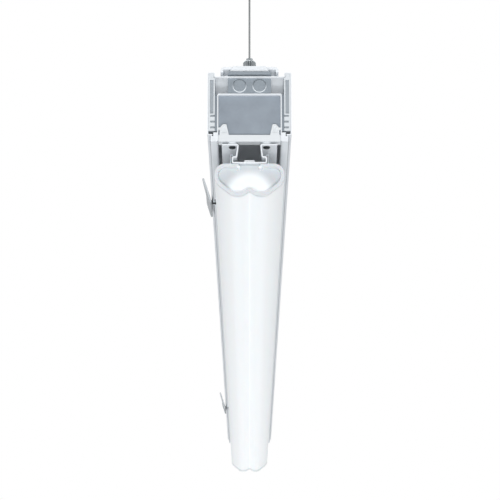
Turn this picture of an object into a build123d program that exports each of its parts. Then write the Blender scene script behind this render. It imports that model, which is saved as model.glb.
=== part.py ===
from build123d import *
import os
from math import cos, radians, sin

# Linear LED light for continuous rows: a steel trunk hung on two wires, with an LED batten latched into it.
# X runs across the light, Y along it and Z up. The origin is on the ceiling, midway between both fixings.
# Heights in a cross-section are measured from the lower edge of the trunk. All sizes are in millimetres.

os.makedirs("parts", exist_ok=True)

# Trunk, a roll-formed steel channel that is open at the bottom
trunk_length = 1500.0
trunk_width = 64.0
trunk_height = 50.0
trunk_sheet = 0.8
trunk_bend = 0.9
bead_width = 5.6
bead_rise = 3.2
lip_width = 3.9

# Conductor profiles, plastic extrusions inside both trunk walls, and their copper conductors
profile_depth = 4.7
profile_gap = 0.1
profile_wall = 1.0
profile_lift = 2.6
slot_count = 3
slot_pitch = 4.6
slot_height = 1.6
slot_depth = 3.4
first_slot = 2.7
chamber_depth = 2.0
tongue_round = 0.6
conductor_width = 1.5
conductor_gap = 0.15
conductor_setback = 12.0

# Gear tray, the hat-shaped sheet that closes the trunk and carries the batten
tray_clear = 1.8
tray_sheet = 0.9
tray_bend = 1.0
flange_inset = 1.5
flange_drop = 4.8
hem_lean = 1.4
hem_gap = 0.2
end_setback = 1.0
tab_rise = 2.4
tab_clear = 0.6

# Cross bridges, moulded bars with sprung ears that snap into the tray walls
bridge_set = 0.2
bridge_depth = 9.0
bridge_rise = 0.5
bridge_gap = 0.1
ear_height = 8.6
ear_knee = 6.2
ear_foot = 7.2
ear_top = 2.6
ear_slant = 1.9
ear_draw = 0.5
ear_inset = 0.8
ear_round = 1.2
ear_wall = 1.6
ear_depth = 2.7
ear_web = 1.0
barb_low = 4.6
barb_height = 1.8
barb_reach = 0.6
boss_radius = 3.4
boss_offset = 13.0

# End plates that close the tray above the outer bridges
plate_gap = 0.1
end_plate_sheet = 1.0
end_plate_set = 0.3
end_plate_round = 1.0

# LED carrier, a folded sheet with a neck and a foot, and what it carries
carrier_gap = 2.0
carrier_sheet = 1.0
carrier_bend = 0.9
carrier_width = 42.0
neck_top = 18.2
neck_flare = 1.2
neck_height = 9.7
foot_step = 3.05
foot_height = 5.5
board_count = 5
board_width = 15.8
board_thickness = 1.4
board_joint = 1.5
board_setback = 8.0
led_size = 3.6
led_height = 0.7
led_pitch = 12.0
plug_width = 8.0
plug_length = 14.0
plug_height = 1.6
plug_chamfer = 0.4

# Lens, an opal two-lobed extrusion that snaps over the foot of the carrier
lens_width = 52.8
lens_height = 25.4
lens_flank = 14.6
lobe_half = 12.7
lobe_flat = 6.7
notch_rise = 3.4
shoulder_round = 8.0
flank_round = 11.0
lobe_round = 10.0
notch_side_round = 9.0
notch_round = 1.0
lens_wall = 2.7
lens_gap = 0.3
lens_arm = 1.2
lens_arm_rise = 7.6
arm_barb_width = 1.2
arm_barb_thick = 1.2
arm_barb_gap = 0.15
bead_radius = 1.3
cap_thickness = 2.0
cap_inset = 4.0
cap_gap = 0.15

# Driver, tap-off and leads inside the tray
driver_length = 260.0
driver_width = 30.0
driver_height = 21.0
driver_round = 2.0
driver_ear = 12.0
driver_ear_sheet = 1.5
tap_length = 60.0
tap_height = 15.0
tap_low = 3.5
tap_setback = 15.0
tap_chamfer = 1.5
contact_width = 8.0
contact_thick = 1.0
lead_length = 35.0
lead_count = 3
lead_radius = 1.1
lead_pitch = 6.0
board_lead_radius = 0.9
board_lead_pitch = 5.0
board_lead_run = 30.0
board_lead_bend = 12.0
board_lead_drop = 10.0

# Locking levers on the left flange, with fixed hooks opposite
lever_near_set = 170.0
lever_far_set = 310.0
lever_lean = 18.0
lever_length = 50.0
lever_height = 22.0
lever_thick = 2.6
lever_tip = 6.0
lever_waist = 20.0
lever_body = 12.5
lever_heel = 5.0
waist_round = 8.0
lever_round = 2.0
lever_foot = 1.7
root_height = 2.1
lever_clear = 0.3
hinge_set = 9.0
pivot_out = 1.2
pivot_drop = 2.2
pin_radius = 0.8
pin_clear = 0.05
barrel_radius = 1.5
barrel_width = 6.4
hook_thick = 1.2
hook_lift = 0.2
hook_clear = 0.3
hook_catch = 0.9
nose_gap = 0.7
nose_height = 1.5
notch_lead = 7.0
notch_clear = 0.2
cheek_thick = 1.0
cheek_gap = 0.25
bracket_sheet = 0.7
fixed_hook_width = 14.0

# Suspension, one set near each end of the trunk
saddle_width = 33.0
saddle_top_width = 24.6
saddle_height = 7.4
saddle_shoulder = 2.1
saddle_depth = 38.0
saddle_front = 4.0
saddle_recess = 3.0
recess_height = 1.6
knockout_radius = 4.8
knockout_offset = 7.6
knockout_proud = 2.0
knockout_chamfer = 0.7
box_setback = 2.3
box_height = 12.1
box_gap = 0.5
box_round = 0.8
plate_width = 44.6
plate_depth = 16.0
plate_sheet = 2.2
plate_lip = 2.2
latch_thick = 2.0
latch_drop = 2.2
latch_foot = 30.0
latch_head = 25.2
gripper_set = 13.0
gripper_radius = 5.0
gripper_height = 7.1
flute_count = 16
flute_radius = 0.55
gripper_chamfer = 0.8
guide_floor = 2.1
collar_radius = 2.55
collar_clear = 0.07
collar_stand = 2.3
collar_travel = 1.8
collar_bore = 1.1
collar_rest = 0.3
collar_chamfer = 0.5
wire_radius = 0.75
wire_clear = 0.3
wire_seat = 1.0
wire_free = 51.0
clamp_set = 30.0
clamp_offset = 7.0
clamp_radius = 2.4
clamp_clear = 0.35
clamp_head = 4.0
clamp_head_height = 3.6
clamp_reach = 9.0

# Ceiling fixings
fixing_height = 20.0
fixing_wall = 1.9
fixing_nose = 5.0
fixing_gap = 0.3
base_radius = 9.0
base_height = 8.0
base_gap = 0.1
fixing_hole = 2.75
screw_seat_radius = 5.0
screw_seat_depth = 3.2
ferrule_radius = 2.6
ferrule_height = 4.0
nose_wall = 3.0
ferrule_clear = 1.4

# Small screws, and the gap of a tight seat
seat_gap = 0.03
screw_radius = 1.2
screw_clear = 0.3
screw_head = 2.7
screw_head_height = 1.5
screw_reach = 4.5

# Stations worked out from the sizes above
wall_x = trunk_width / 2
wall_in = wall_x - trunk_sheet
lip_x = wall_x - lip_width
web_top = trunk_height - bead_rise
web_low = web_top - trunk_sheet
bead_x = wall_x - bead_width
profile_out = wall_in - profile_gap
profile_in = profile_out - profile_depth
profile_low = trunk_sheet + profile_lift
slot_end = profile_in + slot_depth
slot_heights = [profile_low + first_slot + n * slot_pitch for n in range(slot_count)]
tray_x = profile_in - tray_clear
tray_rise = web_low - box_height - box_gap
tray_in = tray_x - tray_sheet
tray_length = trunk_length - 2 * end_setback
flange_x = wall_x - flange_inset
flange_low = -flange_drop
flange_top = flange_low + tray_sheet
carrier_top = flange_low - carrier_gap
carrier_low = carrier_top - carrier_sheet
neck_bottom = neck_top + 2 * neck_flare
foot_width = neck_bottom + 2 * foot_step
foot_top = carrier_top - neck_height
foot_low = foot_top - foot_height
board_low = foot_low - board_thickness
lens_top = foot_low - lens_gap
lens_low = lens_top - lens_height
saddle_top = web_top + saddle_height
plate_top = saddle_top + plate_sheet
gripper_top = plate_top + gripper_height
plate_set = gripper_set - plate_depth / 2
collar_guide = gripper_height - guide_floor
collar_top = gripper_top + collar_stand
trunk_z = -(fixing_height + wire_free + collar_top)
ceiling = -trunk_z
ear_out = tray_in - bridge_gap
end_plate_y = tray_length / 2 - bridge_set - ear_depth - end_plate_set
pivot_x = lip_x + pivot_out
notch_x = pivot_x - barrel_radius - notch_clear
lever_edges = {"near": -trunk_length / 2 + lever_near_set, "far": trunk_length / 2 - lever_far_set}
hinge_span = barrel_width + 2 * (cheek_gap + cheek_thick)
bridge_names = ["bridge_near", "bridge_mid_near", "bridge_mid_far", "bridge_far"]
bridge_first = -tray_length / 2 + bridge_set + bridge_depth / 2
bridge_pitch = -2 * bridge_first / (len(bridge_names) - 1)
bridge_ys = [bridge_first + n * bridge_pitch for n in range(len(bridge_names))]
ear_ys = [y + (1 if y > 0 else -1) * (bridge_depth - ear_depth) / 2 for y in bridge_ys]
tap_y = bridge_ys[1] + tap_setback + tap_length / 2
driver_start = tap_y + tap_length / 2 + lead_length
driver_end = driver_start + driver_length
driver_y = (driver_start + driver_end) / 2
driver_top = tray_rise - tray_sheet
driver_low = driver_top - driver_height
lead_height = (max(tap_low, driver_low) + min(tap_low + tap_height, driver_top)) / 2
board_lead_y = driver_end + board_lead_run
ends = {"near": -1, "far": 1}


def section(y=0.0):
    """Cross-section plane at y: local x is X, local y is the height over the trunk's lower edge."""
    return Plane(origin=(0, y, trunk_z), x_dir=(1, 0, 0), z_dir=(0, -1, 0))


def level(height, x=0.0, y=0.0):
    """Horizontal plane at a height over the trunk's lower edge."""
    return Plane(origin=(x, y, trunk_z + height))


def block(x0, x1, low, high, mode=Mode.ADD):
    """Rectangle between two opposite corners in the open sketch."""
    with Locations(((x0 + x1) / 2, (low + high) / 2)):
        Rectangle(abs(x1 - x0), high - low, mode=mode)


def folded_sheet(half_path, bend, sheet):
    """Section of a symmetric folded sheet, from the middle line of its right half."""
    left = [(-x, h) for x, h in reversed(half_path)]
    with BuildSketch() as folded:
        with BuildLine():
            FilletPolyline(*left, *half_path, radius=bend)
        trace(line_width=sheet)
    return folded.sketch


def lens_outline(inset=0.0):
    """Two-lobed outline of the lens, moved inwards by inset."""
    half = [
        (lens_width / 2, lens_top),
        (lens_width / 2, lens_top - lens_flank),
        (lobe_half, lens_low),
        (lobe_half - lobe_flat, lens_low),
    ]
    rounds = [shoulder_round, flank_round, lobe_round, notch_side_round]
    left = [(-x, h) for x, h in reversed(half)]
    with BuildSketch() as outline:
        with BuildLine():
            FilletPolyline(
                *half, (0, lens_low + notch_rise), *left,
                radius=[*rounds, notch_round, *reversed(rounds)], close=True,
            )
        make_face()
        if inset:
            offset(amount=-inset, mode=Mode.REPLACE)
    return outline.sketch


def ear_outline(inset=0.0):
    """Outline of the right-hand sprung ear on a bridge, moved inwards by inset."""
    outer = ear_out - ear_inset
    inner = outer - ear_foot
    knee = bridge_rise + ear_knee
    top = bridge_rise + ear_height
    with BuildSketch() as outline:
        with BuildLine():
            FilletPolyline(
                (outer, bridge_rise), (outer - ear_draw, knee), (inner + ear_slant + ear_top, top),
                (inner + ear_slant, top), (inner, bridge_rise),
                radius=[0, ear_round, ear_round, ear_round, 0], close=True,
            )
        make_face()
        if inset:
            offset(amount=-inset, kind=Kind.INTERSECTION, mode=Mode.REPLACE)
    return outline.sketch


# Trunk: lips, walls, corner beads and sunken web, with clamp holes near both ends
with BuildPart() as trunk:
    with BuildSketch(section()):
        add(folded_sheet(
            [
                (bead_x + trunk_sheet / 2, web_top - trunk_sheet / 2),
                (bead_x + trunk_sheet / 2, trunk_height - trunk_sheet / 2),
                (wall_x - trunk_sheet / 2, trunk_height - trunk_sheet / 2),
                (wall_x - trunk_sheet / 2, trunk_sheet / 2),
                (lip_x, trunk_sheet / 2),
            ],
            trunk_bend, trunk_sheet,
        ))
    extrude(amount=trunk_length / 2, both=True)
    with BuildSketch(level(web_top)):
        with GridLocations(2 * clamp_offset, trunk_length - 2 * clamp_set, 2, 2):
            Circle(clamp_radius + clamp_clear)
    extrude(amount=-trunk_sheet, mode=Mode.SUBTRACT)
trunk.part.label = "trunk"
export_step(trunk.part, "parts/trunk.step")

# Conductor profiles: slots towards the middle for the conductors, a tongue in the bead, and at each end
# a blind chamber for the joint to the next profile
for hand, side in (("left", -1), ("right", 1)):
    chamber_low = slot_heights[-1] + slot_height / 2 + profile_wall
    tongue_x = bead_x + trunk_sheet + profile_gap
    with BuildPart() as profile:
        with BuildSketch(section()) as profile_section:
            block(side * profile_in, side * profile_out, profile_low, web_low - profile_gap)
            block(side * tongue_x, side * profile_out, web_low - profile_wall,
                  trunk_height - trunk_sheet - profile_gap)
            fillet(profile_section.vertices().group_by(Axis.Y)[-1], tongue_round)
            for height in slot_heights:
                block(side * profile_in, side * slot_end, height - slot_height / 2,
                      height + slot_height / 2, mode=Mode.SUBTRACT)
        extrude(amount=trunk_length / 2, both=True)
        for end_side in ends.values():
            with BuildSketch(section(end_side * trunk_length / 2)):
                block(side * (profile_in + profile_wall), side * (profile_out - profile_wall),
                      chamber_low, web_low - 2 * profile_wall)
            extrude(amount=end_side * chamber_depth, mode=Mode.SUBTRACT)
    profile.part.label = f"conductor_profile_{hand}"
    export_step(profile.part, f"parts/conductor_profile_{hand}.step")

    with BuildPart() as conductors:
        with BuildSketch(section()):
            for height in slot_heights:
                block(side * (slot_end - conductor_width), side * slot_end,
                      height - slot_height / 2 + conductor_gap, height + slot_height / 2 - conductor_gap)
        extrude(amount=trunk_length / 2 - conductor_setback, both=True)
    conductors.part.label = f"conductors_{hand}"
    export_step(conductors.part, f"parts/conductors_{hand}.step")

# Gear tray: top, walls, flanges and leaning hems, with end tabs that close the gap beside the trunk's lips,
# cut for levers, bridges and the tap-off
with BuildPart() as gear_tray:
    with BuildSketch(section()):
        add(folded_sheet(
            [
                (tray_x - tray_sheet / 2, tray_rise - tray_sheet / 2),
                (tray_x - tray_sheet / 2, flange_low + tray_sheet / 2),
                (flange_x - tray_sheet / 2, flange_low + tray_sheet / 2),
                (flange_x - tray_sheet / 2 - hem_lean, -hem_gap),
            ],
            tray_bend, tray_sheet,
        ))
    extrude(amount=tray_length / 2, both=True)
    for side in ends.values():
        with BuildSketch(section(side * tray_length / 2)):
            with BuildLine():
                Polyline(
                    (tray_x - tray_sheet / 2, flange_low + tray_sheet / 2),
                    (flange_x - tray_sheet, flange_low + tray_sheet / 2),
                    (flange_x - tray_sheet / 2 - hem_lean, -hem_gap - tray_sheet / 2),
                    (lip_x - tab_clear, -hem_gap - tray_sheet / 2),
                    (lip_x - tab_clear, tab_rise),
                    (tray_x - tray_sheet / 2, tab_rise),
                    close=True,
                )
            make_face()
            mirror(about=Plane.YZ)
        extrude(amount=side * tray_sheet)
    for edge in lever_edges.values():
        notch_end = edge + hinge_set + hinge_span / 2 + cheek_gap
        with BuildSketch(section(edge - notch_lead)):
            block(-flange_x - tray_sheet, -notch_x, flange_low - tray_sheet, 0)
        extrude(amount=edge - notch_lead - notch_end, mode=Mode.SUBTRACT)
    for y in ear_ys:
        with BuildSketch(section(y)):
            for side in (-1, 1):
                block(side * (tray_in - tray_sheet), side * (tray_x + tray_sheet),
                      barb_low - bridge_gap, barb_low + barb_height + bridge_gap)
        extrude(amount=ear_depth / 2 + bridge_gap, both=True, mode=Mode.SUBTRACT)
    with BuildSketch(section(tap_y)):
        for side in (-1, 1):
            block(side * (tray_in - tray_sheet), side * (tray_x + tray_sheet),
                  slot_heights[0] - slot_height, slot_heights[-1] + slot_height)
    extrude(amount=tap_length / 2 - contact_width, both=True, mode=Mode.SUBTRACT)
    with BuildSketch(level(tray_rise, 0, driver_y)):
        with GridLocations(0, driver_length + driver_ear, 1, 2):
            Circle(screw_radius + screw_clear)
    extrude(amount=-tray_sheet, mode=Mode.SUBTRACT)
gear_tray.part.label = "gear_tray"
export_step(gear_tray.part, "parts/gear_tray.step")

# Cross bridges: a bar between the tray walls with two sprung ears on its outer side and two screw bosses
for name, y, ear_y in zip(bridge_names, bridge_ys, ear_ys):
    with BuildPart() as bridge:
        with BuildSketch(section(y)):
            block(-ear_out, ear_out, flange_low, bridge_rise)
        extrude(amount=bridge_depth / 2, both=True)
        with BuildSketch(section(ear_y)):
            add(ear_outline())
            add(ear_outline(ear_wall), mode=Mode.SUBTRACT)
            block(ear_out - ear_inset - ear_wall, tray_in + barb_reach, barb_low, barb_low + barb_height)
            mirror(about=Plane.YZ)
        extrude(amount=ear_depth / 2, both=True)
        with BuildSketch(section(ear_y)):
            add(ear_outline())
            mirror(about=Plane.YZ)
        extrude(amount=ear_web / 2, both=True)
        with BuildSketch(level(flange_low, 0, y)):
            with GridLocations(2 * boss_offset, 0, 2, 1):
                Circle(boss_radius)
        extrude(amount=-carrier_gap)
        with BuildSketch(level(carrier_top, 0, y)):
            with GridLocations(2 * boss_offset, 0, 2, 1):
                Circle(screw_radius + seat_gap)
        extrude(amount=screw_reach, mode=Mode.SUBTRACT)
    bridge.part.label = name
    export_step(bridge.part, f"parts/{name}.step")

# End plates of the tray: they stand on the outer bridges, right behind the ears
for end, side in ends.items():
    with BuildPart() as tray_end:
        with BuildSketch(section(side * end_plate_y)) as plate_outline:
            block(-tray_in + plate_gap, tray_in - plate_gap, bridge_rise + plate_gap,
                  tray_rise - tray_sheet - plate_gap)
            fillet(plate_outline.vertices().group_by(Axis.Y)[-1], end_plate_round)
        extrude(amount=side * end_plate_sheet)
    tray_end.part.label = f"tray_end_{end}"
    export_step(tray_end.part, f"parts/tray_end_{end}.step")

# LED carrier: top flanges on the bridge bosses, a neck, and a foot that holds the boards and the lens
with BuildPart() as led_carrier:
    with BuildSketch(section()):
        flange_mid = carrier_top - carrier_sheet / 2
        step_mid = foot_top - carrier_sheet / 2
        add(folded_sheet(
            [
                ((foot_width - carrier_sheet) / 2, foot_low + carrier_sheet / 2),
                ((foot_width - carrier_sheet) / 2, step_mid),
                ((neck_bottom - carrier_sheet) / 2, step_mid),
                ((neck_top - carrier_sheet) / 2, flange_mid),
                (carrier_width / 2, flange_mid),
            ],
            carrier_bend, carrier_sheet,
        ))
    extrude(amount=tray_length / 2, both=True)
    with BuildSketch(level(carrier_top)):
        for y in bridge_ys:
            with Locations((-boss_offset, y), (boss_offset, y)):
                Circle(screw_radius + screw_clear)
    extrude(amount=-carrier_sheet, mode=Mode.SUBTRACT)
    with BuildSketch(level(foot_low, 0, board_lead_y)):
        SlotCenterToCenter(board_lead_pitch, 4 * board_lead_radius)
    extrude(amount=carrier_sheet, mode=Mode.SUBTRACT)
led_carrier.part.label = "led_carrier"
export_step(led_carrier.part, "parts/led_carrier.step")

# Screws that hold the carrier to the bridges
with BuildPart() as carrier_screws:
    for y in bridge_ys:
        with BuildSketch(level(carrier_low, 0, y)):
            with GridLocations(2 * boss_offset, 0, 2, 1):
                Circle(screw_radius)
        extrude(amount=screw_reach)
        with BuildSketch(level(carrier_low, 0, y)):
            with GridLocations(2 * boss_offset, 0, 2, 1):
                Circle(screw_head)
        extrude(amount=-screw_head_height)
carrier_screws.part.label = "carrier_screws"
export_step(carrier_screws.part, "parts/carrier_screws.step")

# LED boards end to end under the foot, with their LEDs
board_length = (tray_length - 2 * board_setback - (board_count - 1) * board_joint) / board_count
with BuildPart() as led_boards:
    with BuildSketch(level(foot_low)):
        with GridLocations(0, board_length + board_joint, 1, board_count):
            Rectangle(board_width, board_length)
    extrude(amount=-board_thickness)
led_boards.part.label = "led_boards"
export_step(led_boards.part, "parts/led_boards.step")

leds_per_board = int(board_length // led_pitch)
with BuildPart() as leds:
    with BuildSketch(level(board_low)):
        with GridLocations(0, board_length + board_joint, 1, board_count):
            with GridLocations(0, led_pitch, 1, leds_per_board):
                Rectangle(led_size, led_size)
    extrude(amount=-led_height)
leds.part.label = "leds"
export_step(leds.part, "parts/leds.step")

# Plug of the first board, on the floor of the foot at the near end
with BuildPart() as board_plug:
    with BuildSketch(section(-tray_length / 2 + end_setback)):
        block(-plug_width / 2, plug_width / 2, foot_low + carrier_sheet,
              foot_low + carrier_sheet + plug_height)
    extrude(amount=-plug_length)
    chamfer(board_plug.edges().filter_by(Axis.Y).group_by(Axis.Z)[-1], plug_chamfer)
board_plug.part.label = "board_plug"
export_step(board_plug.part, "parts/board_plug.step")

# Lens: hollow lobes with an open top, beads beside the opening and snap arms over the foot
arm_in = foot_width / 2 + lens_gap
slit_half = board_width / 2 + lens_gap
with BuildPart() as lens:
    with BuildSketch(section()):
        add(lens_outline())
    extrude(amount=tray_length / 2, both=True)
    with BuildSketch(section()):
        add(lens_outline(lens_wall))
    extrude(amount=tray_length / 2, both=True, mode=Mode.SUBTRACT)
    with BuildSketch(section()):
        block(-slit_half, slit_half, lens_top - 2 * lens_wall, lens_top)
    extrude(amount=tray_length / 2, both=True, mode=Mode.SUBTRACT)
    with BuildSketch(section()):
        for side in (-1, 1):
            block(side * arm_in, side * (arm_in + lens_arm), lens_top - lens_wall / 2,
                  lens_top + lens_arm_rise)
            block(side * (arm_in - arm_barb_width), side * (arm_in + lens_arm / 2), foot_top + arm_barb_gap,
                  foot_top + arm_barb_gap + arm_barb_thick)
            with Locations((side * slit_half, lens_top - lens_wall)):
                Circle(bead_radius)
    extrude(amount=tray_length / 2, both=True)
lens.part.label = "lens"
export_step(lens.part, "parts/lens.step")

# End plates of the lens, plugs inside its wall with a tab that closes the slit between the beads
for end, side in ends.items():
    with BuildPart() as lens_end:
        with BuildSketch(section(side * (tray_length / 2 - cap_inset))):
            add(lens_outline(lens_wall + cap_gap))
            block(-slit_half + cap_gap, slit_half - cap_gap, lens_top - 2 * lens_wall, lens_top - cap_gap)
            with Locations((-slit_half, lens_top - lens_wall), (slit_half, lens_top - lens_wall)):
                Circle(bead_radius + cap_gap, mode=Mode.SUBTRACT)
        extrude(amount=side * cap_thickness)
    lens_end.part.label = f"lens_end_{end}"
    export_step(lens_end.part, f"parts/lens_end_{end}.step")

# Driver under the tray top, with screw ears at both ends
with BuildPart() as driver:
    with BuildSketch(level(driver_top, 0, driver_y)):
        Rectangle(driver_width, driver_length)
    extrude(amount=-driver_height)
    fillet(driver.edges().filter_by(Axis.Y).group_by(Axis.Z)[0], driver_round)
    with BuildSketch(level(driver_top, 0, driver_y)):
        RectangleRounded(driver_width / 2, driver_length + 2 * driver_ear, driver_ear / 4)
    extrude(amount=-driver_ear_sheet)
    with BuildSketch(level(driver_top, 0, driver_y)):
        with GridLocations(0, driver_length + driver_ear, 1, 2):
            Circle(screw_radius + screw_clear)
    extrude(amount=-driver_ear_sheet, mode=Mode.SUBTRACT)
driver.part.label = "driver"
export_step(driver.part, "parts/driver.step")

with BuildPart() as driver_screws:
    with BuildSketch(level(driver_top - driver_ear_sheet, 0, driver_y)):
        with GridLocations(0, driver_length + driver_ear, 1, 2):
            Circle(screw_radius)
    extrude(amount=driver_ear_sheet + tray_sheet)
    with BuildSketch(level(driver_top - driver_ear_sheet, 0, driver_y)):
        with GridLocations(0, driver_length + driver_ear, 1, 2):
            Circle(screw_head)
    extrude(amount=-screw_head_height)
driver_screws.part.label = "driver_screws"
export_step(driver_screws.part, "parts/driver_screws.step")

# Tap-off: a block across the tray whose contacts reach through the tray walls to the conductors
tap_x = tray_in - bridge_gap
with BuildPart() as tap_off:
    with BuildSketch(section(tap_y)):
        block(-tap_x, tap_x, tap_low, tap_low + tap_height)
    extrude(amount=tap_length / 2, both=True)
    chamfer(tap_off.edges().filter_by(Axis.X), tap_chamfer)
tap_off.part.label = "tap_off"
export_step(tap_off.part, "parts/tap_off.step")

with BuildPart() as tap_contacts:
    with BuildSketch(section(tap_y)):
        for side in (-1, 1):
            for height in slot_heights:
                block(side * tap_x, side * (slot_end - conductor_width), height - contact_thick / 2,
                      height + contact_thick / 2)
    extrude(amount=contact_width / 2, both=True)
tap_contacts.part.label = "tap_contacts"
export_step(tap_contacts.part, "parts/tap_contacts.step")

# Leads from the tap-off to the driver, and from the driver down to the boards
with BuildPart() as supply_leads:
    with BuildSketch(section(driver_start)):
        with Locations((0, lead_height)):
            with GridLocations(lead_pitch, 0, lead_count, 1):
                Circle(lead_radius)
    extrude(amount=lead_length)
supply_leads.part.label = "supply_leads"
export_step(supply_leads.part, "parts/supply_leads.step")

with BuildPart() as board_leads:
    for side in (-1, 1):
        lead_x = side * board_lead_pitch / 2
        lead_z = trunk_z + driver_top - board_lead_drop
        with BuildLine():
            FilletPolyline(
                (lead_x, driver_end, lead_z),
                (lead_x, board_lead_y, lead_z),
                (lead_x, board_lead_y, trunk_z + foot_low),
                radius=board_lead_bend,
            )
        with BuildSketch(Plane(origin=(lead_x, driver_end, lead_z), x_dir=(1, 0, 0), z_dir=(0, 1, 0))):
            Circle(board_lead_radius)
        sweep()
board_leads.part.label = "board_leads"
export_step(board_leads.part, "parts/board_leads.step")
print("board lead bend radius", board_lead_bend)

# Locking levers: a flap with a raised tip outside the trunk, a barrel on a pin, and a hook that catches
# the trunk's lip
out_x = -cos(radians(lever_lean))
out_z = -sin(radians(lever_lean))
reach = wall_x + lever_clear - pivot_x
stem_out = lip_x - hook_clear
stem_in = stem_out - hook_thick
nose_low = trunk_sheet + nose_gap
nose_top = nose_low + nose_height
arm_low = -pivot_drop + hook_lift
for end, edge in lever_edges.items():
    hinge_y = edge + hinge_set
    pivot = Vector(-pivot_x, hinge_y, trunk_z - pivot_drop)
    foot = Vector(-pivot_x + reach * out_x, edge, trunk_z - pivot_drop + reach * out_z)
    with BuildPart() as lever:
        with BuildSketch(section(hinge_y)):
            with Locations((-pivot_x, -pivot_drop)):
                Circle(barrel_radius)
            block(-pivot_x, -stem_in, arm_low, arm_low + hook_thick)
            block(-stem_out, -stem_in, arm_low, nose_top)
            block(-lip_x - hook_catch, -stem_in, nose_low, nose_top)
        extrude(amount=barrel_width / 2, both=True)
        with BuildSketch(Plane(origin=pivot, x_dir=(0, -1, 0), z_dir=(out_x, 0, out_z))):
            Rectangle(barrel_width, root_height)
        extrude(amount=reach + lever_thick / 2)
        flap = Plane(origin=foot, x_dir=(0, -1, 0), z_dir=(out_x, 0, out_z))
        tip_top = lever_height - lever_foot
        body_top = lever_body - lever_foot
        with BuildSketch(flap):
            with BuildLine():
                FilletPolyline(
                    (0, -lever_foot), (0, tip_top), (-lever_tip, tip_top), (-lever_waist, body_top),
                    (-lever_length, body_top), (-lever_length, -lever_foot),
                    radius=[lever_round / 2, lever_round, lever_round, waist_round, lever_heel, lever_round],
                    close=True,
                )
            make_face()
        extrude(amount=lever_thick)
        with BuildSketch(section(hinge_y)):
            with Locations((-pivot_x, -pivot_drop)):
                Circle(pin_radius + pin_clear)
        extrude(amount=barrel_width, both=True, mode=Mode.SUBTRACT)
    lever.part.label = f"lever_{end}"
    export_step(lever.part, f"parts/lever_{end}.step")

    with BuildPart() as lever_pin:
        with BuildSketch(section(hinge_y)):
            with Locations((-pivot_x, -pivot_drop)):
                Circle(pin_radius)
        extrude(amount=hinge_span / 2, both=True)
    lever_pin.part.label = f"lever_pin_{end}"
    export_step(lever_pin.part, f"parts/lever_pin_{end}.step")

    with BuildPart() as lever_bracket:
        with BuildSketch(section(hinge_y)):
            block(-tray_x - tray_bend, -notch_x, flange_top, flange_top + bracket_sheet)
        extrude(amount=hinge_span / 2, both=True)
        for side in (-1, 1):
            with BuildSketch(section(hinge_y + side * (barrel_width / 2 + cheek_gap))):
                block(-tray_x - tray_bend, -pivot_x - barrel_radius, flange_top, -pivot_drop + barrel_radius)
                with Locations((-pivot_x, -pivot_drop)):
                    Circle(pin_radius + seat_gap, mode=Mode.SUBTRACT)
            extrude(amount=-side * cheek_thick)
    lever_bracket.part.label = f"lever_bracket_{end}"
    export_step(lever_bracket.part, f"parts/lever_bracket_{end}.step")

# Fixed hooks on the right flange, opposite the levers
with BuildPart() as fixed_hooks:
    for edge in lever_edges.values():
        with BuildSketch(section(edge + hinge_set)):
            block(tray_x + tray_bend, stem_out, flange_top, flange_top + hook_thick)
            block(stem_in, stem_out, flange_top, nose_top)
            block(stem_in, lip_x + hook_catch, nose_low, nose_top)
        extrude(amount=fixed_hook_width / 2, both=True)
fixed_hooks.part.label = "fixed_hooks"
export_step(fixed_hooks.part, "parts/fixed_hooks.step")

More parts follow.
